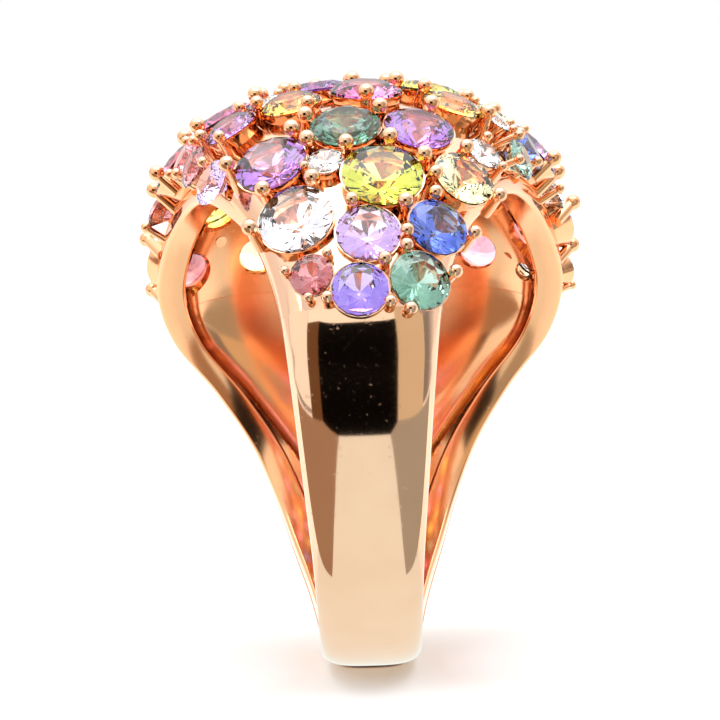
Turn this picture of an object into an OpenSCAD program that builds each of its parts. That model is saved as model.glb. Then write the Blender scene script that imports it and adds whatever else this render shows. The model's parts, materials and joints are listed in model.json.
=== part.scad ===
// Domed cocktail ring: a polished tapering shank and a pierced dome head, both
// on two finger rims, and round brilliant stones held over the dome by ball claws.
//
// Frame: X along the finger, Z up through the dome, Y across. The origin is
// the centre of the finger hole. A bearing runs round X: 0 is straight up,
// -90 is the slender shoulder and +90 is the broad shoulder.

/* [Finger hole] */
// Inner radius of the ring
finger_r = 8.5; // [8.3:0.1:8.7]

/* [Finger rims] */
// Height of the two rims that line the finger hole
rim_h = 0.8; // [0.7:0.1:0.9]
// Width of the rims
rim_w = 1.2; // [1.0:0.1:1.3]

/* [Shank] */
// Bearing where the slender shoulder meets the stones
tip_bearing = -63; // [-64:1:-62]
// Bearing where the broad shoulder meets the stones
broad_bearing = 66; // [65:1:68]
// Bearing where the hollow inside the broad shoulder ends
hollow_end = 118; // [105:1:125]
// Metal left outside the hollow of the broad shoulder
shoulder_wall = 1.2; // [1.0:0.1:1.4]

/* [Head] */
// Depth of the dome's metal under the stones' girdles, on its top
girdle_lift = 0.4; // [0.35:0.05:0.5]
// How far the stones' girdles stand out from the dome's metal at its sides
side_lift = 1.0; // [0.6:0.1:1.2]
// Wall of the dome
dome_wall = 1.1; // [0.9:0.1:1.2]

/* [Stones] */
// Crown height as a share of a stone's diameter
crown_share = 0.15; // [0.12:0.01:0.18]
// Pavilion depth as a share of a stone's diameter
pavilion_share = 0.42; // [0.38:0.01:0.44]
// Table width as a share of a stone's diameter
table_share = 0.56; // [0.5:0.01:0.62]
// Radius of a claw's ball as a share of a stone's radius, before its limits
claw_share = 0.23; // [0.19:0.01:0.25]

/* [Hidden] */
KNOT_STEP = 15;

// Profiles round the finger, one value every 15 degrees from -180 to +165.
// Half width of the ring where it meets the finger
RIM_HALF = [2.0, 2.0, 2.02, 2.06, 2.15, 2.33, 2.55, 2.8, 3.1, 3.6, 4.3, 5.3,
    6.1, 6.8, 7.5, 8.15, 8.5, 7.9, 6.2, 4.75, 3.8, 3.1, 2.5, 2.15];
// Outer radius of the shank on its centre line
SHANK_R = [10.2, 10.2, 10.2, 10.2, 10.25, 10.3, 10.4, 10.5, 10.75, 11.0, 11.0, 11.0,
    11.0, 11.0, 11.0, 11.2, 11.5, 11.15, 10.75, 10.45, 10.3, 10.2, 10.2, 10.2];
// Radius of the surface that the stones' girdles lie on, on the centre line
GIRDLE_R = [11.1, 11.1, 11.1, 11.1, 11.1, 11.1, 11.1, 11.1, 11.1, 11.3, 11.75, 12.35,
    12.85, 13.1, 13.05, 12.65, 12.1, 11.6, 11.1, 11.1, 11.1, 11.1, 11.1, 11.1];
// Half width of that surface
GIRDLE_HALF = [3.4, 3.4, 3.4, 3.4, 3.4, 3.4, 3.4, 3.4, 3.6, 4.4, 5.4, 6.3,
    6.9, 7.5, 8.1, 8.7, 8.95, 8.3, 6.6, 5.1, 3.4, 3.4, 3.4, 3.4];

RIM_TOP = finger_r + rim_h; // outer radius of the rims, and of the dome's foot
DOME_POWER = 2.0;       // superellipse power of the dome's sections
SHANK_POWER = 2.7;      // superellipse power of the shank's sections
DOME_HOLLOW_TIP = -52;  // bearing where the dome's hollow ends over the slender shoulder
DOME_HOLLOW_RUN = 12;   // degrees over which that end of the hollow closes
HOLLOW_CORNER = 4;      // power that rounds the corners of a hollow's outline
HOLLOW_WALL = 0.4;      // power that steepens the walls of a hollow
RING_STEP = 6;          // degrees between the sections of a sweep
SECTION_STEP = 15;      // degrees between the points of a section
UNDER = 0.5;            // how far the rims reach into the finger hole before it is bored
CLEAR = 0.02;           // least gap between two pieces, and between a lining and the bore
BORE_LENGTH = 40;       // length of the boring tool
BORE_SECTORS = 12;      // sectors of the finger hole's wall, each of which is a face of its own
RELIEF = 0.01;          // every second sector is this much deeper
RELIEF_TURN = 18;       // bearing of the first of them

// Stones of the front: name, bearing, tilt, diameter, colour, claw bearings. Bearing and tilt
// place a stone on the girdle surface; tilt runs from 0 on the centre line to +-90 at the sides.
FRONT_STONES = [
    ["tip_violet", -59.5, 0, 2.2, "violet", [198, 330]],
    ["tip_red", -55.5, -29, 1.7, "red", [45, 165, 265]],
    ["tip_teal", -57, 38, 2.4, "teal", [20, 125, 250]],
    ["front_white", -42, -31, 3.0, "white", [185, 300, 62]],
    ["front_lilac", -47, 5, 2.5, "lilac", [5, 90, 135, 222, 270]],
    ["front_blue", -44, 43, 2.4, "blue", [0, 100, 215]],
    ["front_purple", -26, -36, 2.9, "purple", [50, 165, 275, 350]],
    ["front_lime", -32.8, 11, 3.2, "lime", [65, 30, 185, 305]],
    ["front_straw", -29.5, 50, 2.5, "straw", [345, 80, 205]],
    ["top_teal", -18.5, -3.5, 2.8, "teal", [160, 262, 305, 25]],
    ["top_purple", -18, 24, 2.8, "purple", [75, 345, 255]],
    ["top_magenta", -1.5, 4, 2.9, "magenta", [45, 135, 270]],
    ["top_gold_left", -5, -22, 2.4, "gold", [80, 175, 300]],
    ["top_gold_right", -2, 35, 2.5, "gold", [70, 150, 345]],
    ["top_mauve", -5, -47.5, 2.2, "purple", [60, 160, 250]],
    ["edge_lilac", -20.5, -72, 1.9, "lilac", [80, 200, 320]],
    ["edge_red", -6.5, -76, 1.8, "red", [80, 200, 300]],
    ["edge_teal", -6, 78, 1.8, "teal", [20, 140, 260]],
];

// Small colourless stones between them: bearing, tilt, diameter, claw bearings
FRONT_ACCENTS = [
    [-28.5, -12.5, 1.4, [195, 315, 60]],
    [-19, 55.5, 1.5, [95, 330, 200]],
    [3, 55, 1.3, [60, 200, 320]],
];

// The crown and the back are filled by rule. Each size in turn, from the largest, takes every
// place on a grid of bearings and tilts that is clear of the stones set before it.
FILL_SIZES = [3.0, 2.7, 2.4, 2.1, 1.9];
FILL_ACCENT_SIZES = [1.6, 1.3];
FILL_BEARINGS = [for (b = [61 : -1 : -5]) b];
FILL_TILTS = [for (t = [-80 : 2 : 80]) t];
FILL_END = 65;          // bearing that no filling stone reaches over
FILL_GAP = 0.1;         // least gap between two girdles
FILL_CLAWS = [45, 135, 225, 315];
FILL_COLOURS = ["red", "straw", "blue", "pink", "teal", "lilac", "olive", "gold", "magenta", "lime",
    "purple"];
GEMS = [["violet", "mediumpurple"], ["red", "crimson"], ["teal", "mediumaquamarine"], ["white", "lavender"],
    ["lilac", "plum"], ["blue", "royalblue"], ["purple", "orchid"], ["lime", "yellowgreen"],
    ["straw", "khaki"], ["magenta", "mediumvioletred"], ["gold", "gold"], ["pink", "hotpink"],
    ["olive", "olivedrab"]];
function gem_colour(name) = [for (g = GEMS) if (g[0] == name) g[1]][0];

AZURE_TOP = 0.42;       // radius of a tapered hole at its mouth, as a share of the stone's diameter
AZURE_FOOT = 0.2;       // its radius past the dome's wall
AZURE_OVERRUN = 0.8;    // how far it runs on into the hollow
AZURE_LIP = 0.25;       // how far under the girdle its mouth lies
GIRDLE_SHARE = 0.018;   // half the girdle's thickness as a share of a stone's diameter
CLAW_LEAST_R = 0.2;     // limits on the radius of a claw's ball
CLAW_MOST_R = 0.33;
CLAW_SHAFT = 0.72;      // radius of a claw's shaft as a share of its ball's
CLAW_ROOT = 0.35;       // how far a claw is let into the dome
CLAW_LEAST_FOOT = 0.4;  // a claw whose shaft would be shorter below the girdle is left out
CLAW_SHIFTS = [0, 8, -8, 16, -16, 24, -24];
STONE_TURN = 7;         // turn of a stone on its own axis, in degrees for each degree of bearing

METAL_NODES = ["shank", "head_dome", "finger_rim_left", "finger_rim_right"];
ZONES = ["front", "crown", "back"];
CROWN_FROM = -14;       // bearing where the crown begins
BACK_FROM = 28;         // bearing where the back begins

gold = [0.93, 0.66, 0.5];

// ---- profiles ----------------------------------------------------------

// Smooth curve through a profile's knots, closed round the finger
function profile(knots, bearing) =
    let (place = ((bearing + 180) % 360) / KNOT_STEP,
         i = floor(place), f = place - i, n = len(knots),
         p0 = knots[(i + n - 1) % n], p1 = knots[i % n],
         p2 = knots[(i + 1) % n], p3 = knots[(i + 2) % n])
    p1 + 0.5 * f * (p2 - p0 + f * (2 * p0 - 5 * p1 + 4 * p2 - p3
        + f * (3 * (p1 - p2) + p3 - p0)));

// Point at a tilt on a half superellipse section: [across, radius]
function arch(half, foot_r, top_r, power, tilt) =
    [half * sign(tilt) * pow(abs(sin(tilt)), 2 / power),
     foot_r + (top_r - foot_r) * pow(max(cos(tilt), 0), 2 / power)];

// A point of a section, turned to its bearing
function turned(p, bearing) = [p[0], p[1] * sin(bearing), p[1] * cos(bearing)];

// Point on the surface of the girdles
function girdle_point(bearing, tilt) =
    turned(arch(profile(GIRDLE_HALF, bearing), RIM_TOP,
        profile(GIRDLE_R, bearing), DOME_POWER, tilt), bearing);

function unit(v) = v / norm(v);

// Directions across, round and out of the girdle surface at a point
function across_at(bearing, tilt) =
    unit(girdle_point(bearing, min(tilt + 2, 90)) - girdle_point(bearing, max(tilt - 2, -90)));
function out_at(bearing, tilt) =
    unit(cross(across_at(bearing, tilt),
        girdle_point(bearing + 1, tilt) - girdle_point(bearing - 1, tilt)));

// ---- stone layout ------------------------------------------------------

// A seat is a stone's bearing, tilt, diameter, claw bearings and the centre of its girdle
function seat(bearing, tilt, d, claws) = [bearing, tilt, d, claws, girdle_point(bearing, tilt)];
front_seats = [for (s = FRONT_STONES) seat(s[1], s[2], s[3], s[5])];
front_accents = [for (s = FRONT_ACCENTS) seat(s[0], s[1], s[2], s[3])];
places = [for (b = FILL_BEARINGS) for (t = FILL_TILTS) seat(b, t, 0, FILL_CLAWS)];

function is_free(place, d, seats) =
    place[0] + d / 2 / norm(place[4]) * 180 / PI < FILL_END
    && norm([place[4][1], place[4][2]]) - d / 2 > RIM_TOP
    && len([for (s = seats) if (norm(place[4] - s[4]) < (s[2] + d) / 2 + FILL_GAP) 1]) == 0;
function fill_one_size(d, seats, i = 0) =
    i == len(places) ? seats
    : fill_one_size(d, is_free(places[i], d, seats)
        ? concat(seats, [seat(places[i][0], places[i][1], d, FILL_CLAWS)]) : seats, i + 1);
function fill(sizes, seats, k = 0) =
    k == len(sizes) ? seats : fill(sizes, fill_one_size(sizes[k], seats), k + 1);

before_fill = concat(front_seats, front_accents);
with_large = fill(FILL_SIZES, before_fill);
seats = fill(FILL_ACCENT_SIZES, with_large);
fill_seats = [for (i = [len(before_fill) : len(with_large) - 1]) seats[i]];
accent_seats = concat(front_accents, [for (i = [len(with_large) : len(seats) - 1]) seats[i]]);

function zone_of(seat) = seat[0] < CROWN_FROM ? "front" : seat[0] < BACK_FROM ? "crown" : "back";

// Every large stone: name, colour, seat
stones = concat(
    [for (i = [0 : len(front_seats) - 1]) [FRONT_STONES[i][0], FRONT_STONES[i][4], front_seats[i]]],
    [for (i = [0 : len(fill_seats) - 1])
        let (colour = FILL_COLOURS[i % len(FILL_COLOURS)], number = str(i < 9 ? "0" : "", i + 1))
        [str(zone_of(fill_seats[i]), "_", colour, "_", number), colour, fill_seats[i]]]);

// ---- sweeps ------------------------------------------------------------

// Closed solid through sections that are turned to each bearing. A section has an even
// number of points: the first half runs along its outside, the second half back inside.
// A closed sweep joins its last section to its first.
module sweep(bearings, sections, closed = false) {
    n = len(sections[0]);
    m = len(bearings);
    last = (m - 1) * n;
    points = [for (i = [0 : m - 1]) for (p = sections[i]) turned(p, bearings[i])];
    sides = [for (i = [0 : closed ? m - 1 : m - 2]) for (k = [0 : n - 1])
        let (next = ((i + 1) % m) * n,
             a = i * n + k, b = i * n + (k + 1) % n, c = next + k, d = next + (k + 1) % n)
        each [[a, d, b], [a, c, d]]];
    ends = closed ? [] : [for (k = [0 : n / 2 - 2])
        let (a = k, b = k + 1, c = n - 2 - k, d = n - 1 - k)
        each [[a, b, c], [a, c, d], [last + a, last + c, last + b], [last + a, last + d, last + c]]];
    polyhedron(points, concat(sides, ends));
}

// Bearings from one to another, evenly spaced and no more than a step apart
function steps(from, to) =
    let (n = ceil((to - from) / RING_STEP)) [for (i = [0 : n]) from + (to - from) * i / n];

// Outside of a section: from its foot at +X over an arch to its foot at -X
function outside(half, foot_r, top_r, power) =
    [for (t = [90 : -SECTION_STEP : -90]) arch(half, foot_r, top_r, power, t)];

// Inside of a section, between the rims, from -X to +X. It lies on the finger hole, and
// rises to a roof where the section is hollow: along runs from 0 inside the hollow's
// straight part to 1 at its rounded end.
function inside(half, roof_r, along) =
    let (low = finger_r + CLEAR)
    [for (t = [-90 : SECTION_STEP : 90])
        [half * sin(t), low + (roof_r - low) * hollow_depth(sin(t), along)]];
function hollow_depth(u, along) =
    pow(max(1 - pow(abs(u), HOLLOW_CORNER) - pow(max(along, 0), HOLLOW_CORNER), 0), HOLLOW_WALL);

// Half width between the rims at a bearing
function between_rims(bearing) = profile(RIM_HALF, bearing) - rim_w - CLEAR;

// ---- finger rims -------------------------------------------------------

rim_bearings = [for (i = [0 : 360 / RING_STEP - 1]) RING_STEP * (i + 0.5) - 180];

// One sector of the finger hole, cut a little deeper
module relief(k) {
    angle = 360 / BORE_SECTORS;
    rotate([0, -90, 0]) translate([0, 0, -BORE_LENGTH / 2]) rotate([0, 0, k * angle + RELIEF_TURN])
        rotate_extrude(angle = angle, $fn = 180) square([finger_r + RELIEF, BORE_LENGTH]);
}

// One of the two rims that run all the way round the finger hole; side is -1 or 1
module finger_rim(side) {
    low = finger_r - UNDER;
    sections = [for (b = rim_bearings)
        let (outer = profile(RIM_HALF, b), inner = outer - rim_w)
        side > 0 ? [[inner, RIM_TOP], [outer, RIM_TOP], [outer, low], [inner, low]]
                 : [[-outer, RIM_TOP], [-inner, RIM_TOP], [-inner, low], [-outer, low]]];
    color(gold) difference() {
        sweep(rim_bearings, sections, closed = true);
        rotate([0, -90, 0]) cylinder(h = BORE_LENGTH, r = finger_r, center = true, $fn = 180);
        for (k = [0 : 2 : BORE_SECTORS - 1]) relief(k);
    }
}

// ---- shank -------------------------------------------------------------

function shank_section(bearing) =
    let (half = profile(RIM_HALF, bearing), top = profile(SHANK_R, bearing), g = between_rims(bearing),
         along = (bearing - broad_bearing) / (hollow_end - broad_bearing))
    concat(outside(half, RIM_TOP, top, SHANK_POWER), [[-g, RIM_TOP]],
        inside(g, top - shoulder_wall, along), [[g, RIM_TOP]]);

module shank() {
    bearings = steps(broad_bearing, 360 + tip_bearing);
    color(gold) sweep(bearings, [for (b = bearings) shank_section(b)]);
}

// ---- head --------------------------------------------------------------

dome_bearings = steps(tip_bearing, broad_bearing);

function dome_section(bearing) =
    let (rim = profile(RIM_HALF, bearing), g = between_rims(bearing),
         top = profile(GIRDLE_R, bearing) - girdle_lift,
         half = max(profile(GIRDLE_HALF, bearing) - side_lift, rim),
         along = (DOME_HOLLOW_TIP + DOME_HOLLOW_RUN - bearing) / DOME_HOLLOW_RUN)
    concat(outside(half, RIM_TOP, top, DOME_POWER), [[-g, RIM_TOP]],
        inside(g, top - dome_wall, along), [[g, RIM_TOP]]);

// Depth of the dome's metal under a girdle, along the stone's axis
function lift_at(bearing, tilt) =
    let (z = out_at(bearing, tilt)) side_lift * abs(z[0]) + girdle_lift * norm([z[1], z[2]]);

// Tapered hole under each stone, which takes its pavilion and lets light through
module azure(bearing, tilt, d) {
    depth = lift_at(bearing, tilt) + dome_wall + AZURE_OVERRUN;
    at_stone(bearing, tilt) translate([0, 0, -depth])
        cylinder(h = depth - AZURE_LIP, r1 = AZURE_FOOT * d, r2 = AZURE_TOP * d, $fn = 16);
}

module head_dome() {
    color(gold) difference() {
        sweep(dome_bearings, [for (b = dome_bearings) dome_section(b)]);
        for (s = seats) azure(s[0], s[1], s[2]);
    }
}

// ---- claws -------------------------------------------------------------

// Places children on the girdle surface, with +Z out of it and +X across the ring
module at_stone(bearing, tilt) {
    x = across_at(bearing, tilt);
    z = out_at(bearing, tilt);
    y = cross(z, x);
    p = girdle_point(bearing, tilt);
    multmatrix([[x[0], y[0], z[0], p[0]],
                [x[1], y[1], z[1], p[1]],
                [x[2], y[2], z[2], p[2]],
                [0, 0, 0, 1]]) children();
}

function claw_r(d) = min(max(claw_share * d / 2, CLAW_LEAST_R), CLAW_MOST_R);
function claw_reach(d) = d / 2 + CLAW_SHAFT * claw_r(d) + CLEAR;
// A claw's ball rests on the slope of the crown
function ball_height(d) =
    let (rise = (crown_share - GIRDLE_SHARE) * d, run = (1 - table_share) * d / 2,
         slope = atan(rise / run), r = claw_r(d))
    GIRDLE_SHARE * d + (r + CLEAR - (claw_reach(d) - d / 2) * sin(slope)) / cos(slope);

// Foot of a claw on the girdle plane of a seat, in the ring's frame
function claw_point(seat, bearing) =
    let (x = across_at(seat[0], seat[1]), z = out_at(seat[0], seat[1]), y = cross(z, x))
    seat[4] + claw_reach(seat[2]) * (cos(bearing) * x + sin(bearing) * y);

// How far a claw's shaft runs down below the girdle plane: into the dome, but not into the rims
function claw_foot(seat, p, r) =
    let (z = out_at(seat[0], seat[1]), radius = norm([p[1], p[2]]),
         rise = (p[1] * z[1] + p[2] * z[2]) / radius,
         wanted = lift_at(seat[0], seat[1]) + CLAW_ROOT)
    rise > 0 ? min(wanted, (radius - RIM_TOP - CLAW_SHAFT * r) / rise - CLEAR) : wanted;

// Whether a claw stands clear of every stone but its own, and has a long enough shaft
function is_clear(p, own, r) =
    claw_foot(seats[own], p, r) > CLAW_LEAST_FOOT
    && len([for (i = [0 : len(seats) - 1])
        if (i != own && norm(p - seats[i][4]) < seats[i][2] / 2 + CLAW_SHAFT * r) i]) == 0;

// A claw takes the first place near its bearing that is clear, or none
function claw_places(i, bearing) =
    let (r = claw_r(seats[i][2]))
    [for (shift = CLAW_SHIFTS) let (p = claw_point(seats[i], bearing + shift))
        if (is_clear(p, i, r)) [p, seats[i], bearing + shift, r]];
clear_claws = [for (i = [0 : len(seats) - 1]) for (bearing = seats[i][3])
    let (found = claw_places(i, bearing)) if (len(found) > 0) found[0]];
// Points down a claw's shaft, from the girdle plane to its root
function shaft_points(c) =
    let (down = out_at(c[1][0], c[1][1]) * claw_foot(c[1], c[0], c[3]))
    [for (share = [0 : 0.25 : 1]) c[0] - share * down];
function are_close(a, b) =
    let (apart = norm(a[0] - b[0]), reach = a[3] + b[3])
    apart < reach + CLEAR || (apart < 3 * reach
        && min([for (p = shaft_points(a)) for (q = shaft_points(b)) norm(p - q)])
            < CLAW_SHAFT * reach + 2 * CLEAR);
// A claw that would touch one before it is left out, because that one serves both stones
claw_list = [for (k = [0 : len(clear_claws) - 1]) let (c = clear_claws[k])
    if (len([for (j = [0 : 1 : k - 1])
        if (are_close(clear_claws[j], c)) j]) == 0) c];

// Shaft from the dome up past the girdle, with a ball on its end
module claw(seat, bearing, r) {
    foot = claw_foot(seat, claw_point(seat, bearing), r);
    at_stone(seat[0], seat[1]) rotate([0, 0, bearing]) translate([claw_reach(seat[2]), 0, 0]) {
        translate([0, 0, ball_height(seat[2])]) sphere(r = r, $fn = 32);
        translate([0, 0, -foot]) cylinder(h = foot + ball_height(seat[2]), r = CLAW_SHAFT * r, $fn = 24);
    }
}

module claws(zone) {
    color(gold) for (c = claw_list) if (zone_of(c[1]) == zone) claw(c[1], c[2], c[3]);
}

// ---- stones ------------------------------------------------------------

// Round brilliant with its girdle plane at Z = 0: table, stars, kites, halves,
// girdle, lower halves, mains and culet
module brilliant(d) {
    r = d / 2;
    crown = crown_share * d;
    depth = pavilion_share * d;
    girdle = GIRDLE_SHARE * d;
    table_r = table_share * r;
    kite_r = 0.8 * r;
    kite_z = girdle + (crown - girdle) * 0.58;
    lower_r = 0.28 * r;
    function circle_points(n, radius, z, phase) =
        [for (k = [0 : n - 1]) [radius * cos(360 * k / n + phase), radius * sin(360 * k / n + phase), z]];
    outline = concat(
        circle_points(8, table_r, crown, 0),
        circle_points(8, kite_r, kite_z, 22.5),
        circle_points(16, r, girdle, 0),
        circle_points(16, r, -girdle, 0),
        circle_points(8, lower_r, -depth * 0.76, 0),
        [[0, 0, -depth]]);
    hull() polyhedron(outline, [for (k = [1 : len(outline) - 2]) [0, k, k + 1]]);
}

module cut_stone(seat) {
    at_stone(seat[0], seat[1]) rotate([0, 0, STONE_TURN * seat[0]]) brilliant(seat[2]);
}

module stone(s) {
    color(gem_colour(s[1])) cut_stone(s[2]);
}

module stones_accent() {
    color("whitesmoke") for (s = accent_seats) cut_stone(s);
}

// ---- nodes -------------------------------------------------------------

shank();
head_dome();
finger_rim(-1);  // finger_rim_left
finger_rim(1);  // finger_rim_right
for (zone = ZONES) claws(zone);
for (s = stones) stone(s);
stones_accent();
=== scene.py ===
import json
import math
import random

import bmesh
import bpy
import numpy as np
from mathutils import Matrix, Vector


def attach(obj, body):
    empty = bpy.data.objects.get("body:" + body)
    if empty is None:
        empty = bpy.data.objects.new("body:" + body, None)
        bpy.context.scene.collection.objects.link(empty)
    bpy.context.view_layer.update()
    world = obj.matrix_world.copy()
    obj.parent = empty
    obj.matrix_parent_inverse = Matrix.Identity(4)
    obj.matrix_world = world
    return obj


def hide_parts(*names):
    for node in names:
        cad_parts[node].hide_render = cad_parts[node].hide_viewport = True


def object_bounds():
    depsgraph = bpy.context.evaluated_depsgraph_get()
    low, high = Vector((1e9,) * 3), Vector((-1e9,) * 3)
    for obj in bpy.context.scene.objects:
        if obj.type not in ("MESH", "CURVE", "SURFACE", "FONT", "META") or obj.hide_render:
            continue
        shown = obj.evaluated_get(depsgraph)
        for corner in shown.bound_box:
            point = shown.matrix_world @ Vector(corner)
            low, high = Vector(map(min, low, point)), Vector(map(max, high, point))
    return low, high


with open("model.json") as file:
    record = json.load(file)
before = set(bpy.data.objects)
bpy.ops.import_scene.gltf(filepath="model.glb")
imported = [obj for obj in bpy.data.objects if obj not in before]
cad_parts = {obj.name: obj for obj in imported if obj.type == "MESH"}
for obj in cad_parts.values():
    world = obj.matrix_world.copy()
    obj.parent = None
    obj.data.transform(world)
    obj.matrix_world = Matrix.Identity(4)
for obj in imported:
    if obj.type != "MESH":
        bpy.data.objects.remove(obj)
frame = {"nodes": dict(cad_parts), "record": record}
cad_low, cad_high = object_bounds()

# The ring lies in the CAD model's frame: X along the finger, Z up through the
# dome, Y across, the origin in the middle of the finger hole. A bearing runs
# round X in degrees: 0 is straight up, -90 the slender shoulder that faces the
# camera and +90 the broad one. Shapes are worked out in millimetres.
MM = 0.001
KNOT_STEP = 15                  # degrees between the values of a profile

# Profiles round the finger, one value every 15 degrees from -180 to +165
RIM_HALF = [2.0, 2.0, 2.02, 2.06, 2.15, 2.33, 2.55, 2.8, 3.1, 3.6, 4.3, 5.3,
            6.1, 6.8, 7.5, 8.15, 8.5, 7.9, 6.2, 4.75, 3.8, 3.1, 2.5, 2.15]
SHANK_R = [10.2, 10.2, 10.2, 10.2, 10.25, 10.3, 10.4, 10.5, 10.75, 11.0, 11.0, 11.0,
           11.0, 11.0, 11.0, 11.2, 11.5, 11.15, 10.75, 10.45, 10.3, 10.2, 10.2, 10.2]
GIRDLE_R = [11.1, 11.1, 11.1, 11.1, 11.1, 11.1, 11.1, 11.1, 11.1, 11.3, 11.75, 12.35,
            12.85, 13.1, 13.05, 12.65, 12.1, 11.6, 11.1, 11.1, 11.1, 11.1, 11.1, 11.1]
GIRDLE_HALF = [3.4, 3.4, 3.4, 3.4, 3.4, 3.4, 3.4, 3.4, 3.6, 4.4, 5.4, 6.3,
               6.9, 7.5, 8.1, 8.7, 8.95, 8.3, 6.6, 5.1, 3.4, 3.4, 3.4, 3.4]

FINGER_R = frame["record"]["mounts"][0]["dims"]["r_mm"]
RIM_TOP = FINGER_R + 0.8        # top of the rims that line the finger hole
RIM_W = 1.2                     # width of those rims
TIP_BEARING = -63               # where the slender shoulder meets the stones
BROAD_BEARING = 66              # where the broad shoulder meets the stones
HOLLOW_END = 118                # where the hollow of the broad shoulder ends
SHOULDER_WALL = 1.05            # thickness of the broad shoulder over its hollow
TIP_RAISE = 0.22                # how much the metal rises round the stones at the tip
DOME_WALL = 1.1                 # thickness of the dome
GIRDLE_LIFT = 0.4               # depth of the dome under the stones' girdles, on its top
SIDE_LIFT = 1.0                 # how far the girdles stand out from the dome at its sides
SHANK_POWER = 3.2               # superellipse power of the shank's sections
DOME_POWER = 2.0                # and of the dome's, which runs into the shank's at the tip
POWER_RUN = 16                  # degrees over which it does
OPEN_SIDE = 0.75                # stones that lean further out than this stand on their claws alone
DOME_HOLLOW_TIP = -52           # bearing at which the dome is solid, near the tip
DOME_HOLLOW_RUN = 12            # degrees over which its hollow begins there
GAP = 0.02                      # least gap between two pieces
RING_STEP = 1.5                 # degrees between the sections of a sweep


# ---- profiles ---------------------------------------------------------------

def profile(knots, bearing):
    """Smooth closed curve through a profile's knots."""
    place = ((bearing + 180) % 360) / KNOT_STEP
    i = int(place)
    f = place - i
    p0, p1, p2, p3 = (knots[(i + k - 1) % len(knots)] for k in range(4))
    return p1 + 0.5 * f * (p2 - p0 + f * (2 * p0 - 5 * p1 + 4 * p2 - p3 + f * (3 * (p1 - p2) + p3 - p0)))


def arch(half, foot_r, top_r, power, tilt):
    """Point at a tilt on a half superellipse: (across, radius)."""
    s, c = math.sin(math.radians(tilt)), max(math.cos(math.radians(tilt)), 0)
    return (half * math.copysign(abs(s) ** (2 / power), s), foot_r + (top_r - foot_r) * c ** (2 / power))


def turned(point, bearing):
    """A section's point, turned to its bearing, in metres."""
    b = math.radians(bearing)
    return Vector((point[0], point[1] * math.sin(b), point[1] * math.cos(b))) * MM


def raised(bearing):
    """How far the metal rises towards the girdles at the tip."""
    def ramp(x):
        x = min(max(x, 0), 1)
        return x * x * (3 - 2 * x)
    return TIP_RAISE * ramp((bearing + 76) / 12) * ramp((-38 - bearing) / 12)


def steps(start, end, step):
    n = math.ceil((end - start) / step)
    return [start + (end - start) * i / n for i in range(n + 1)]


# ---- mesh helpers -----------------------------------------------------------

def new_object(name, bm, smooth_angle=35):
    """Makes an object of a bmesh, with edges sharper than smooth_angle left crisp."""
    bmesh.ops.recalc_face_normals(bm, faces=bm.faces)
    mesh = bpy.data.meshes.new(name)
    bm.to_mesh(mesh)
    bm.free()
    obj = bpy.data.objects.new(name, mesh)
    bpy.context.scene.collection.objects.link(obj)
    if smooth_angle:
        mesh.shade_smooth()
        mesh.set_sharp_from_angle(angle=math.radians(smooth_angle))
    return obj


def sweep(name, bearings, sections, closed=False, smooth_angle=35):
    """Closed solid through sections turned to their bearings. Each section is a closed loop."""
    bm = bmesh.new()
    rings = [[bm.verts.new(turned(p, b)) for p in s] for b, s in zip(bearings, sections)]
    n = len(rings[0])
    pairs = list(zip(rings, rings[1:])) + ([(rings[-1], rings[0])] if closed else [])
    for low, high in pairs:
        for k in range(n):
            bm.faces.new((low[k], low[(k + 1) % n], high[(k + 1) % n], high[k]))
    if not closed:
        for ring in (rings[0], rings[-1]):
            for k in range(n // 2 - 1):
                bm.faces.new((ring[k], ring[k + 1], ring[n - 2 - k], ring[n - 1 - k]))
    return new_object(name, bm, smooth_angle)


def lathe(bm, frame_matrix, outline, segments):
    """Adds a solid of revolution: outline is (radius, height) from bottom to top, closed at both ends."""
    rings = []
    for radius, height in outline:
        ring = []
        for k in range(segments):
            a = 2 * math.pi * k / segments
            point = Vector((radius * math.cos(a), radius * math.sin(a), height))
            ring.append(bm.verts.new(frame_matrix @ point))
        rings.append(ring)
    for low, high in zip(rings, rings[1:]):
        for k in range(segments):
            bm.faces.new((low[k], low[(k + 1) % segments], high[(k + 1) % segments], high[k]))
    bm.faces.new(rings[0][::-1])
    bm.faces.new(rings[-1])


def boolean(target, tool, operation):
    """Applies one boolean and removes the tool."""
    mod = target.modifiers.new(operation, "BOOLEAN")
    mod.operation = operation
    mod.solver = "MANIFOLD"
    mod.object = tool
    evaluated = target.evaluated_get(bpy.context.evaluated_depsgraph_get())
    mesh = bpy.data.meshes.new_from_object(evaluated)
    target.modifiers.clear()
    target.data = mesh
    bpy.data.objects.remove(tool)


# ---- what the frame says ----------------------------------------------------

def loose_parts(obj):
    """Corner points of each separate solid of a CAD node, as arrays in metres."""
    co = np.array([v.co for v in obj.data.vertices], float)
    keys, same = np.unique(np.round(co / (0.0005 * MM)).astype(np.int64), axis=0, return_inverse=True)
    same = same.ravel()
    parent = list(range(len(keys)))

    def root(i):
        while parent[i] != i:
            parent[i] = parent[parent[i]]
            i = parent[i]
        return i

    for polygon in obj.data.polygons:
        first, *others = (root(same[v]) for v in polygon.vertices)
        for other in others:
            parent[root(other)] = root(first)
    points = {}
    for i, v in zip(same, co):
        points.setdefault(root(i), {})[i] = v
    parts = [np.array(list(p.values())) for p in points.values()]
    return sorted(parts, key=lambda p: tuple(np.round(p.mean(0), 6)))


def axis_frame(origin, axis):
    """Matrix whose Z runs along axis, and whose X lies across the ring."""
    z = Vector(axis).normalized()
    x = Vector((1, 0, 0)) - z * z.x
    if x.length < 0.3:
        x = Vector((0, 1, 0)) - z * z.y
    x.normalize()
    y = z.cross(x)
    m = Matrix((x, y, z)).transposed().to_4x4()
    m.translation = Vector(origin)
    return m


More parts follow.
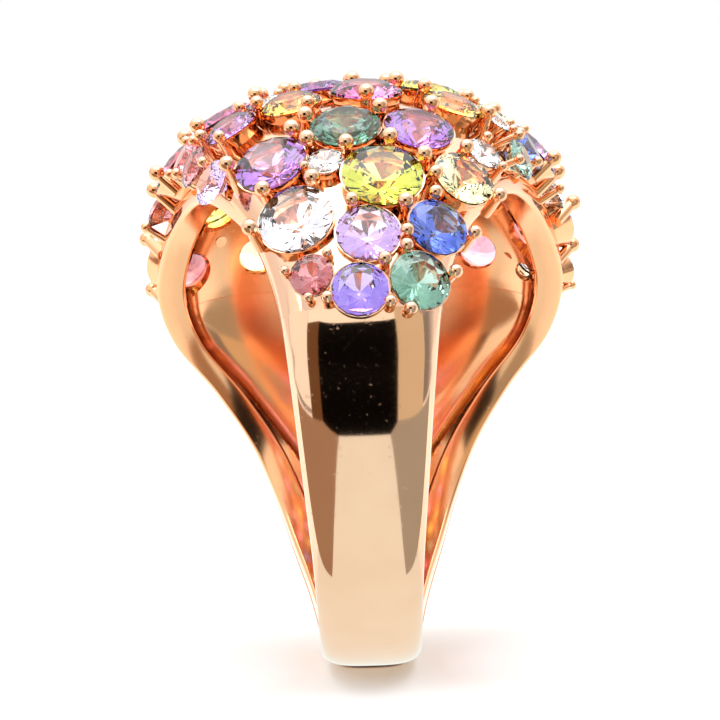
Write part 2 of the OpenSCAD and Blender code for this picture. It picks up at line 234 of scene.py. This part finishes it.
def stone_seat(points):
    """Frame of a cut stone, with its girdle plane at Z = 0 and its table up, and its diameter."""
    mean = points.mean(0)
    _, vectors = np.linalg.eigh(np.cov((points - mean).T))
    axis = vectors[:, 0]
    heights = (points - mean) @ axis
    if abs(heights.max()) > abs(heights.min()):
        axis, heights = -axis, -heights
    out = np.linalg.norm(points - mean - np.outer(heights, axis), axis=1)
    girdle = points[out > 0.985 * out.max()]
    centre = girdle.mean(0)
    return axis_frame(centre, axis), 2 * np.linalg.norm(girdle - centre, axis=1).max()


def end_disc(points, heights):
    """Centre and normal of the points at the top of a claw's extent, and how far they are from a plane."""
    disc = points[heights > heights.max() - 0.08 * MM]
    centre = (disc.min(0) + disc.max(0)) / 2
    _, sizes, directions = np.linalg.svd(disc - disc.mean(0))
    return centre, directions[2], sizes[2] / max(sizes[0], 1e-12)


def claw_shape(points):
    """Frame of a claw at its ball's centre, with Z to its tip; the ball's radius and the shaft's length."""
    mean = points.mean(0)
    _, vectors = np.linalg.eigh(np.cov((points - mean).T))
    heights = (points - mean) @ vectors[:, 2]
    root, axis, _ = min(end_disc(points, heights), end_disc(points, -heights), key=lambda end: end[2])
    if (mean - root) @ axis < 0:
        axis = -axis
    along = (points - root) @ axis
    out = np.linalg.norm(points - root - np.outer(along, axis), axis=1)
    ball_r = out.max()
    length = along.max() - ball_r
    return axis_frame(root + axis * length, axis), ball_r, length


SLOT_OF = {row["node"]: row["material_slot"] for row in frame["record"]["subparts"]}
stone_nodes = sorted(n for n in frame["nodes"] if n.startswith("stone_"))
claw_nodes = sorted(n for n in frame["nodes"] if n.startswith("claws_"))
seats = {n: stone_seat(loose_parts(frame["nodes"][n])[0]) for n in stone_nodes}
accent_seats = [stone_seat(p) for p in loose_parts(frame["nodes"]["stones_accent"])]
all_seats = list(seats.values()) + accent_seats


# ---- materials --------------------------------------------------------------

def node_material(name):
    m = bpy.data.materials.new(name)
    m.use_nodes = True
    return m, m.node_tree, m.node_tree.nodes["Principled BSDF"]


def noise(tree, scale, detail=2.0, stretch=None):
    """Noise over the object's own coordinates, in features per metre."""
    coord = tree.nodes.new("ShaderNodeTexCoord")
    vector = coord.outputs["Object"]
    if stretch:
        mapping = tree.nodes.new("ShaderNodeMapping")
        mapping.inputs["Scale"].default_value = stretch
        tree.links.new(vector, mapping.inputs["Vector"])
        vector = mapping.outputs["Vector"]
    tex = tree.nodes.new("ShaderNodeTexNoise")
    tex.inputs["Scale"].default_value = scale
    tex.inputs["Detail"].default_value = detail
    tree.links.new(vector, tex.inputs["Vector"])
    return tex.outputs["Fac"]


def spread(tree, value, low, high, out_low, out_high):
    """Maps a value from low..high to out_low..out_high, clamped."""
    n = tree.nodes.new("ShaderNodeMapRange")
    for key, number in (("From Min", low), ("From Max", high), ("To Min", out_low), ("To Max", out_high)):
        n.inputs[key].default_value = number
    tree.links.new(value, n.inputs["Value"])
    return n.outputs["Result"]


def mixed(tree, factor, first, second):
    n = tree.nodes.new("ShaderNodeMix")
    n.data_type = "RGBA"
    tree.links.new(factor, n.inputs["Factor"])
    n.inputs["A"].default_value = (*first, 1)
    n.inputs["B"].default_value = (*second, 1)
    return n.outputs["Result"]


ROSE = (0.955, 0.61, 0.415)     # polished metal, worn metal, and the duller inner faces, which also get a deeper orange painted on as painted reflection of light bounced between the metal faces
ROSE_WORN = (0.93, 0.575, 0.385)
PAINTED_BOUNCE_ROSE = ((0.97, 0.51, 0.27), (0.94, 0.47, 0.24))


def facing_out(tree):
    """1 where a surface faces away from the finger, -1 where it faces the finger and is less polished; also
    the mask for the inner faces' painted reflection colour.
    """
    coord = tree.nodes.new("ShaderNodeTexCoord")
    flat = tree.nodes.new("ShaderNodeVectorMath")
    flat.operation = "MULTIPLY"
    tree.links.new(coord.outputs["Object"], flat.inputs[0])
    flat.inputs[1].default_value = (0, 1, 1)
    radial = tree.nodes.new("ShaderNodeVectorMath")
    radial.operation = "NORMALIZE"
    tree.links.new(flat.outputs["Vector"], radial.inputs[0])
    dot = tree.nodes.new("ShaderNodeVectorMath")
    dot.operation = "DOT_PRODUCT"
    tree.links.new(radial.outputs["Vector"], dot.inputs[0])
    tree.links.new(coord.outputs["Normal"], dot.inputs[1])
    return dot.outputs["Value"]


def rose_gold(name, roughness, wave):
    """Polished rose gold: faint mottling, fine wear that catches the light, a hand-polished waviness, and a
    deeper orange on faces that don't turn out from the finger, which is painted reflection of light bounced
    between the metal faces.
    """
    m, tree, shader = node_material(name)
    shader.inputs["Metallic"].default_value = 1.0
    tone = spread(tree, noise(tree, 350), 0.35, 0.65, 0, 1)
    n = tree.nodes.new("ShaderNodeMix")
    n.data_type = "RGBA"
    out = facing_out(tree)
    # Deeper orange where a face doesn't turn out from the finger: painted reflection of light bounced between
    # the metal faces, not a colour of the metal itself
    tree.links.new(spread(tree, out, 0.2, 0.6, 0, 1), n.inputs["Factor"])
    tree.links.new(mixed(tree, tone, *PAINTED_BOUNCE_ROSE), n.inputs["A"])
    tree.links.new(mixed(tree, tone, ROSE, ROSE_WORN), n.inputs["B"])
    tree.links.new(n.outputs["Result"], shader.inputs["Base Color"])
    wear = spread(tree, noise(tree, 5000, 6), 0.62, 0.74, roughness, roughness + 0.22)
    rougher = tree.nodes.new("ShaderNodeMath")
    rougher.operation = "MAXIMUM"
    tree.links.new(wear, rougher.inputs[0])
    tree.links.new(spread(tree, out, -0.7, -0.3, 0.16, 0.0), rougher.inputs[1])
    tree.links.new(rougher.outputs["Value"], shader.inputs["Roughness"])
    waves = tree.nodes.new("ShaderNodeBump")
    waves.inputs["Strength"].default_value = wave
    waves.inputs["Distance"].default_value = 0.02 * MM
    tree.links.new(noise(tree, 420, 1), waves.inputs["Height"])
    hairlines = tree.nodes.new("ShaderNodeBump")
    hairlines.inputs["Strength"].default_value = 0.06
    hairlines.inputs["Distance"].default_value = 0.004 * MM
    tree.links.new(noise(tree, 9000, 3, (1, 0.12, 0.12)), hairlines.inputs["Height"])
    tree.links.new(waves.outputs["Normal"], hairlines.inputs["Normal"])
    tree.links.new(hairlines.outputs["Normal"], shader.inputs["Normal"])
    return m


# Tint of each gem at its surface, and the colour that a millimetre of it lets through
GEMS = {
    "gem_violet": ((0.80, 0.68, 1.0), (0.36, 0.16, 0.86)),
    "gem_red": ((0.92, 0.34, 0.38), (0.46, 0.02, 0.05)),
    "gem_teal": ((0.62, 0.88, 0.78), (0.12, 0.42, 0.30)),
    "gem_white": ((1.0, 1.0, 1.0), (0.93, 0.93, 0.98)),
    "gem_lilac": ((0.95, 0.86, 1.0), (0.74, 0.54, 0.92)),
    "gem_blue": ((0.28, 0.54, 1.0), (0.01, 0.12, 0.74)),
    "gem_purple": ((0.93, 0.74, 1.0), (0.58, 0.24, 0.82)),
    "gem_lime": ((1.0, 1.0, 0.50), (0.85, 0.88, 0.08)),
    "gem_straw": ((1.0, 0.99, 0.86), (0.92, 0.90, 0.60)),
    "gem_magenta": ((1.0, 0.72, 0.95), (0.80, 0.18, 0.60)),
    "gem_gold": ((1.0, 0.92, 0.40), (0.96, 0.74, 0.04)),
    "gem_pink": ((1.0, 0.80, 0.88), (0.92, 0.38, 0.56)),
    "gem_olive": ((0.93, 0.95, 0.60), (0.50, 0.56, 0.14)),
    "gem_accent": ((1.0, 1.0, 1.0), (0.97, 0.97, 0.98)),
}


def gem_material(slot):
    """Cut sapphire: clear, tinted by its depth, with faint colour zoning and polish marks on its facets."""
    tint, through = GEMS[slot]
    m, tree, shader = node_material(slot)
    shader.inputs["Transmission Weight"].default_value = 1.0
    shader.inputs["IOR"].default_value = 1.77 if slot != "gem_accent" else 2.2
    zone = spread(tree, noise(tree, 900, 1), 0.35, 0.65, 0, 1)
    paler = tuple(0.5 + 0.5 * c for c in tint)
    tree.links.new(mixed(tree, zone, tint, paler), shader.inputs["Base Color"])
    marks = spread(tree, noise(tree, 7000, 4), 0.60, 0.75, 0.0, 0.05)
    tree.links.new(marks, shader.inputs["Roughness"])
    depth = tree.nodes.new("ShaderNodeVolumeAbsorption")
    depth.inputs["Color"].default_value = (*through, 1)
    depth.inputs["Density"].default_value = 0.55 / MM
    tree.links.new(depth.outputs["Volume"], tree.nodes["Material Output"].inputs["Volume"])
    return m


METALS = {
    "shank_gold": rose_gold("shank_gold", 0.07, 0.35),
    "dome_gold": rose_gold("dome_gold", 0.10, 0.5),
    "rim_gold": rose_gold("rim_gold", 0.06, 0.4),
    "claw_gold": rose_gold("claw_gold", 0.05, 0.2),
}
gems = {slot: gem_material(slot) for slot in GEMS}


def finish_piece(piece, *nodes):
    """Rides the piece on the ring, stands it in for CAD nodes and gives it their slot's material."""
    slot = SLOT_OF[nodes[0]]
    piece.data.materials.clear()
    piece.data.materials.append(METALS.get(slot) or gems[slot])
    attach(piece, "root")
    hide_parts(*nodes)
    return piece


# ---- finger rims ------------------------------------------------------------

def rounded_box(x0, x1, r0, r1, radius, count=4):
    """Section of a bar with rounded corners: closed loop of (across, radius)."""
    corners = [((x1 - radius, r1 - radius), 0), ((x0 + radius, r1 - radius), 90),
               ((x0 + radius, r0 + radius), 180), ((x1 - radius, r0 + radius), 270)]
    return [(cx + radius * math.cos(math.radians(a + 90 * k / count)),
             cr + radius * math.sin(math.radians(a + 90 * k / count)))
            for (cx, cr), a in corners for k in range(count + 1)]


def finger_rim(side):
    """Rim that runs all the way round the finger hole, with softened corners."""
    bearings = [RING_STEP * i - 180 for i in range(int(360 / RING_STEP))]
    sections = []
    for b in bearings:
        outer = profile(RIM_HALF, b)
        x0, x1 = sorted((side * outer, side * (outer - RIM_W)))
        sections.append(rounded_box(x0, x1, FINGER_R, RIM_TOP, 0.16))
    name = "finger_rim_right" if side > 0 else "finger_rim_left"
    return finish_piece(sweep(name + "_polished", bearings, sections, closed=True, smooth_angle=60), name)


# ---- shank ------------------------------------------------------------------

TIP_SEAT_Z = 7.5 * MM           # stones lower than this may be let into the shank


def hollow_depth(u, along):
    """How far a hollow has risen, 0 to 1, at a place across the ring and along the hollow."""
    return max(1 - abs(u) ** 4 - max(along, 0) ** 4, 0) ** 0.4


def inside(half, roof_r, along, count):
    """Inner side of a section, from -X to +X, which rises to a roof where the section is hollow."""
    low = FINGER_R + GAP
    return [(half * math.sin(math.radians(t)),
             low + (roof_r - low) * hollow_depth(math.sin(math.radians(t)), along))
            for t in (180 * k / (count - 1) - 90 for k in range(count))]


SECTION_POINTS = 61             # points across a section
POLISH = 0.006                  # what polishing takes off the strip


def section(half, gap_half, top, roof_r, power, along):
    """Closed section of the shank or the dome: its outer arch, then its inner side between the rims."""
    outer = [arch(half, RIM_TOP, top, power, 90 - 180 * k / (SECTION_POINTS - 1))
             for k in range(SECTION_POINTS)]
    return (outer + [(-gap_half, RIM_TOP)]
            + inside(gap_half, roof_r, along, SECTION_POINTS) + [(gap_half, RIM_TOP)])


def shank_section(bearing):
    """Section of the shank, hollow under its broad shoulder."""
    half = profile(RIM_HALF, bearing)
    top = profile(SHANK_R, bearing) + raised((bearing + 180) % 360 - 180) - POLISH
    gap_half = half - RIM_W - GAP
    along = (bearing - BROAD_BEARING) / (HOLLOW_END - BROAD_BEARING)
    return section(half, gap_half, top, top - SHOULDER_WALL, SHANK_POWER, along)


def shank():
    """Polished shank, with seats cut for the stones that stand at the tip."""
    bearings = steps(BROAD_BEARING, 360 + TIP_BEARING, RING_STEP)
    strip = sweep("shank_polished", bearings, [shank_section(b) for b in bearings])
    for seat, d in all_seats:
        if seat.translation.z < TIP_SEAT_Z and seat.translation.y < 0:
            bm = bmesh.new()
            lathe(bm, seat, seat_outline(d)[4:], 40)
            boolean(strip, new_object("tool", bm, 0), "DIFFERENCE")
    strip.data.shade_smooth()
    strip.data.set_sharp_from_angle(angle=math.radians(35))
    return finish_piece(strip, "shank")


# ---- head -------------------------------------------------------------------

def dome_section(bearing):
    """Section of the dome, hollow except near the tip."""
    rim = profile(RIM_HALF, bearing)
    gap_half = rim - RIM_W - GAP
    top = profile(GIRDLE_R, bearing) - GIRDLE_LIFT + raised(bearing)
    half = max(profile(GIRDLE_HALF, bearing) - SIDE_LIFT, rim)
    along = (DOME_HOLLOW_TIP + DOME_HOLLOW_RUN - bearing) / DOME_HOLLOW_RUN
    near_tip = max(1 - (bearing - TIP_BEARING) / POWER_RUN, 0)
    power = DOME_POWER + (SHANK_POWER - DOME_POWER) * near_tip
    return section(half, gap_half, top, top - raised(bearing) - DOME_WALL, power, along)


def lift_at(seat):
    """Depth of the dome's metal under a stone's girdle, along the stone's axis."""
    across = abs(seat.col[2].x)
    return (SIDE_LIFT * across + GIRDLE_LIFT * math.sqrt(max(1 - across * across, 0))) * MM


def cup_outline(d, lift):
    """Collar under a stone: a thin cup that its girdle rests in."""
    return [(0.36 * d, -lift - 0.15 * MM), (0.45 * d, -0.45 * MM), (d / 2 + 0.04 * MM, -0.14 * MM),
            (d / 2 + 0.05 * MM, -0.05 * MM)]


def seat_outline(d):
    """What is cut for a stone: a bearing for its girdle, a cone for its pavilion and a pocket behind it."""
    return [(0.46 * d, -3.2 * MM), (0.38 * d, -1.75 * MM), (0.25 * d, -1.1 * MM), (0.27 * d, -0.8 * MM),
            (0.42 * d, -0.27 * MM), (0.488 * d, -0.08 * MM), (0.5 * d + 0.02 * MM, 0.3 * MM)]


def head_dome():
    """Dome with a collar under each stone that faces up, and a pocket through it for every stone."""
    bearings = steps(TIP_BEARING, BROAD_BEARING, RING_STEP)
    dome = sweep("head_dome_pierced", bearings, [dome_section(b) for b in bearings])
    cups = [(seat, cup_outline(d, lift_at(seat)), "UNION") for seat, d in all_seats
            if abs(seat.col[2].x) < OPEN_SIDE]
    pockets = [(seat, seat_outline(d), "DIFFERENCE") for seat, d in all_seats]
    for seat, outline, operation in cups + pockets:
        bm = bmesh.new()
        lathe(bm, seat, outline, 40)
        boolean(dome, new_object("tool", bm, 0), operation)
    dome.data.shade_smooth()
    dome.data.set_sharp_from_angle(angle=math.radians(35))
    return finish_piece(dome, "head_dome")


# ---- claws ------------------------------------------------------------------

BALL_SHARE = 0.99               # ball of a claw as a share of the one in the CAD
ROOT_MORE = 0.5 * MM            # how much further the claws at the sides run down into the dome


def claw_outline(r, length):
    """Root, shaft, neck and ball of a claw, round its axis; the ball's centre is at height 0."""
    shaft = 0.74 * r
    rows = [(shaft * 1.02, -length), (shaft, -0.6 * length),
            (shaft * 0.96, -1.1 * r), (shaft * 0.93, -0.75 * r)]
    for k in range(9):
        a = math.radians(-42 + 128 * k / 8)
        rows.append((r * math.cos(a), r * math.sin(a)))
    return rows


def claws(node):
    """Ball-tipped claws of one CAD node, each on its own claw's axis."""
    bm = bmesh.new()
    for points in loose_parts(frame["nodes"][node]):
        m, r, length = claw_shape(points)
        root = length + ROOT_MORE * abs(m.col[2].x)
        lathe(bm, m, claw_outline(BALL_SHARE * r, root), 28)
    return finish_piece(new_object(node + "_ball_tipped", bm, 40), node)


# ---- stones -----------------------------------------------------------------

def brilliant(bm, seat, d, turn, table, crown, depth):
    """Round brilliant: table, stars, kites, upper halves, girdle, lower halves, mains and culet."""
    r = d / 2
    girdle = 0.018 * d
    lower_r = 0.24 * r
    kite_r = 0.79 * r

    def ring(count, radius, height, phase):
        return [seat @ Vector((radius * math.cos(a), radius * math.sin(a), height))
                for a in (2 * math.pi * k / count + math.radians(phase) + turn for k in range(count))]

    half_facet = math.cos(math.radians(22.5))
    kite_z = girdle + (crown * d - girdle) * (r - kite_r * half_facet * 0.985) / (r - table * r)
    lower_z = -girdle - (depth * d - girdle) * (1 - lower_r * half_facet / r)
    points = (ring(8, table * r, crown * d, 22.5) + ring(8, kite_r, kite_z, 0) + ring(16, r, girdle, 0)
              + ring(16, r, -girdle, 0)
              + ring(8, lower_r, lower_z, 22.5)
              + [seat @ Vector((0, 0, -depth * d))])
    verts = [bm.verts.new(p) for p in points]
    made = bmesh.ops.convex_hull(bm, input=verts)
    inner = [v for v in made["geom_interior"] if isinstance(v, bmesh.types.BMVert)]
    bmesh.ops.delete(bm, geom=inner, context="VERTS")
    bmesh.ops.dissolve_limit(bm, angle_limit=math.radians(0.6), verts=bm.verts, edges=bm.edges)


def cut_stone(name, seat_list, *nodes):
    """Cut stones at their seats, each with proportions of its own."""
    bm = bmesh.new()
    for seat, d in seat_list:
        one = bmesh.new()
        brilliant(one, seat, d * 0.995, RANDOM.uniform(0, math.pi / 4), RANDOM.uniform(0.52, 0.60),
                  RANDOM.uniform(0.135, 0.15), RANDOM.uniform(0.40, 0.42))
        mesh = bpy.data.meshes.new("one")
        one.to_mesh(mesh)
        one.free()
        bm.from_mesh(mesh)
        bpy.data.meshes.remove(mesh)
    return finish_piece(new_object(name, bm, 0), *nodes)


RANDOM = random.Random(7)

finger_rim(-1)
finger_rim(1)
shank()
head_dome()
for node in claw_nodes:
    claws(node)
for node in stone_nodes:
    cut_stone(node + "_cut", [seats[node]], node)
cut_stone("stones_accent_cut", accent_seats, "stones_accent")


# ---- studio -----------------------------------------------------------------

FLOOR_Z = cad_low.z - 0.02 * MM


def plane(name, corners, material):
    bm = bmesh.new()
    bm.faces.new([bm.verts.new(c) for c in corners])
    obj = new_object(name, bm, 0)
    obj.data.materials.append(material)
    return obj


def paper(name, colour):
    m, tree, shader = node_material(name)
    shader.inputs["Roughness"].default_value = 0.9
    shader.inputs["Specular IOR Level"].default_value = 0.1
    shader.inputs["Base Color"].default_value = (*colour, 1)
    return m


FLOOR_REACH = 2
plane("floor", [(x * FLOOR_REACH, y * FLOOR_REACH, FLOOR_Z) for x, y in ((-1, -1), (1, -1), (1, 1), (-1, 1))],
      paper("floor_paper", (0.9, 0.9, 0.9)))


def glow(name, colour):
    """Even light, for what the polished metal mirrors."""
    m, tree, shader = node_material(name)
    shader.inputs["Base Color"].default_value = (0, 0, 0, 1)
    shader.inputs["Specular IOR Level"].default_value = 0
    shader.inputs["Emission Color"].default_value = (*colour, 1)
    shader.inputs["Emission Strength"].default_value = 1
    return m


def mirrored_card(name, corners, colour):
    """Card that only shows in reflections."""
    card = plane(name, corners, glow(name + "_glow", colour))
    card.visible_camera = False
    card.visible_diffuse = False
    card.visible_shadow = False
    card.visible_transmission = False


CARD_Y = -0.30                  # where the black wall in front of the ring stands; it reaches the floor
CARD_LEFT, CARD_RIGHT = -0.098, 0.058   # its sides
CARD_TOP, CARD_DIP = 0.152, 0.024       # height of its top edge, and how far the middle of it sags
SHEET_Y = -0.080                # where the white sheet that the ring stands on ends
SHEET_LEFT, SHEET_RIGHT = -0.0085, 0.0085
SHEET_NEAR = 0.003              # half width of the sheet beside the ring's foot
FOOT_Y = -0.0095                # where the tables end, just in front of the ring
CARD_Z = FLOOR_Z + 0.1 * MM     # height of the cards on the floor
GREY_Z = CARD_Z + 0.1 * MM      # and of the tables, which lie on top of them
SIDE_X = 0.40                   # how far the cards reach to the sides
BROWN_LEFT = -0.20              # where the dark left of the wall ends and the left window begins
BLACK = (0.002, 0.002, 0.002)
WINDOW_Y = CARD_Y - 0.005       # the window above the black wall stands just behind it
EDGE_STEPS = 12
top_edge = [(CARD_RIGHT + (CARD_LEFT - CARD_RIGHT) * k / EDGE_STEPS, CARD_Y,
             CARD_TOP - CARD_DIP * math.sin(math.pi * k / EDGE_STEPS))
            for k in range(EDGE_STEPS + 1)]
mirrored_card("black_card", [(CARD_LEFT, CARD_Y, CARD_Z), (CARD_RIGHT, CARD_Y, CARD_Z)] + top_edge, BLACK)
mirrored_card("black_table", [(3 * SHEET_LEFT, SHEET_Y, CARD_Z), (2 * SHEET_RIGHT, SHEET_Y, CARD_Z),
                              (CARD_RIGHT, CARD_Y, CARD_Z), (CARD_LEFT, CARD_Y, CARD_Z)], BLACK)
mirrored_card("white_sheet", [(SHEET_LEFT, SHEET_Y, CARD_Z), (SHEET_RIGHT, SHEET_Y, CARD_Z),
                              (SHEET_RIGHT, 0.01, CARD_Z), (SHEET_LEFT, 0.01, CARD_Z)], (0.96, 1.08, 1.06))
mirrored_card("tan_table_right", [(SHEET_RIGHT, SHEET_Y, GREY_Z), (SHEET_NEAR, FOOT_Y, GREY_Z),
                                  (SIDE_X, FOOT_Y, GREY_Z), (SIDE_X, CARD_Y, GREY_Z),
                                  (CARD_RIGHT, CARD_Y, GREY_Z)],
              (0.44, 0.45, 0.40))
mirrored_card("brown_table_left", [(SHEET_LEFT, SHEET_Y, GREY_Z), (CARD_LEFT, CARD_Y, GREY_Z),
                                   (-SIDE_X, CARD_Y, GREY_Z), (-SIDE_X, FOOT_Y, GREY_Z),
                                   (-SHEET_NEAR, FOOT_Y, GREY_Z)], (0.40, 0.28, 0.19))
mirrored_card("tan_wall_right", [(CARD_RIGHT, CARD_Y, CARD_Z), (SIDE_X, CARD_Y, CARD_Z),
                                 (SIDE_X, CARD_Y, 0.22), (CARD_RIGHT, CARD_Y, 0.22)], (0.74, 0.68, 0.50))
mirrored_card("brown_wall_left", [(BROWN_LEFT, CARD_Y, CARD_Z), (CARD_LEFT, CARD_Y, CARD_Z),
                                  (CARD_LEFT, CARD_Y, CARD_TOP), (BROWN_LEFT, CARD_Y, CARD_TOP)],
              (0.17, 0.09, 0.04))
mirrored_card("left_window", [(BROWN_LEFT, CARD_Y, 0.01), (-SIDE_X, 0.02, 0.01),
                              (-SIDE_X, 0.02, 0.30), (BROWN_LEFT, CARD_Y, 0.30)], (1.1, 1.15, 1.1))
mirrored_card("front_window", [(BROWN_LEFT, WINDOW_Y, 0.10), (CARD_RIGHT, WINDOW_Y, 0.10),
                               (CARD_RIGHT, WINDOW_Y, 0.40), (BROWN_LEFT, WINDOW_Y, 0.40)],
              (1.2, 1.25, 1.2))


def softbox(name, place, aim, size, power):
    data = bpy.data.lights.new(name, "AREA")
    data.shape = "RECTANGLE"
    data.size, data.size_y = size
    data.energy = power
    obj = bpy.data.objects.new(name, data)
    obj.location = place
    obj.rotation_mode = "QUATERNION"
    obj.rotation_quaternion = (Vector(aim) - Vector(place)).to_track_quat("-Z", "Y")
    obj.visible_camera = False
    bpy.context.scene.collection.objects.link(obj)


softbox("top_box", (0, -0.05, 0.45), (0, 0, 0), (0.5, 0.4), 1.3)
softbox("left_box", (-0.40, -0.16, 0.22), (0, 0, 0), (0.16, 0.30), 0.5)


def studio_world():
    """White behind and above the ring, mid grey in front of it, and plain white where the camera sees it."""
    world = bpy.data.worlds.new("studio")
    bpy.context.scene.world = world
    world.use_nodes = True
    tree = world.node_tree
    background = tree.nodes["Background"]
    coord = tree.nodes.new("ShaderNodeTexCoord")
    split = tree.nodes.new("ShaderNodeSeparateXYZ")
    tree.links.new(coord.outputs["Generated"], split.inputs["Vector"])
    behind = spread(tree, split.outputs["Y"], -0.35, 0.25, 0.30, 1.0)
    above = spread(tree, split.outputs["Z"], 0.35, 0.85, 0.0, 0.8)
    add = tree.nodes.new("ShaderNodeMath")
    add.operation = "ADD"
    tree.links.new(behind, add.inputs[0])
    tree.links.new(above, add.inputs[1])
    path = tree.nodes.new("ShaderNodeLightPath")
    through = tree.nodes.new("ShaderNodeMath")
    through.operation = "MULTIPLY_ADD"
    tree.links.new(path.outputs["Is Transmission Ray"], through.inputs[0])
    through.inputs[1].default_value = 0.9
    tree.links.new(add.outputs["Value"], through.inputs[2])
    seen = tree.nodes.new("ShaderNodeMix")
    seen.data_type = "FLOAT"
    tree.links.new(path.outputs["Is Camera Ray"], seen.inputs["Factor"])
    tree.links.new(through.outputs["Value"], seen.inputs["A"])
    seen.inputs["B"].default_value = 1.0
    tree.links.new(seen.outputs["Result"], background.inputs["Strength"])
    background.inputs["Color"].default_value = (1, 1, 1, 1)


studio_world()
bpy.context.scene.view_settings.view_transform = "Standard"


# ---- camera -----------------------------------------------------------------

CAMERA_DISTANCE = 0.160
CAMERA_ELEVATION = math.radians(6)
CAMERA_ROLL = math.radians(1.8)
VIEW_WIDTH = 0.0289             # width of the view at the ring's own distance
AIM = (-0.16 * MM, 2.05 * MM)   # middle of the picture, right of and above the origin


def place_camera():
    data = bpy.data.cameras.new("camera")
    camera = bpy.data.objects.new("camera", data)
    bpy.context.scene.collection.objects.link(camera)
    data.sensor_width = 36
    data.lens = 36 * CAMERA_DISTANCE / VIEW_WIDTH
    data.clip_start, data.clip_end = 0.01, 10
    back = Vector((0, -math.cos(CAMERA_ELEVATION), math.sin(CAMERA_ELEVATION)))
    side = Vector((1, 0, 0))
    up = back.cross(side)
    right = side * math.cos(CAMERA_ROLL) - up * math.sin(CAMERA_ROLL)
    top = side * math.sin(CAMERA_ROLL) + up * math.cos(CAMERA_ROLL)
    place = back * CAMERA_DISTANCE
    target = right * AIM[0] + top * AIM[1]
    z = (place - target).normalized()
    x = (right - z * right.dot(z)).normalized()
    y = z.cross(x)
    m = Matrix((x, y, z)).transposed().to_4x4()
    m.translation = place
    camera.matrix_world = m
    bpy.context.scene.camera = camera


place_camera()
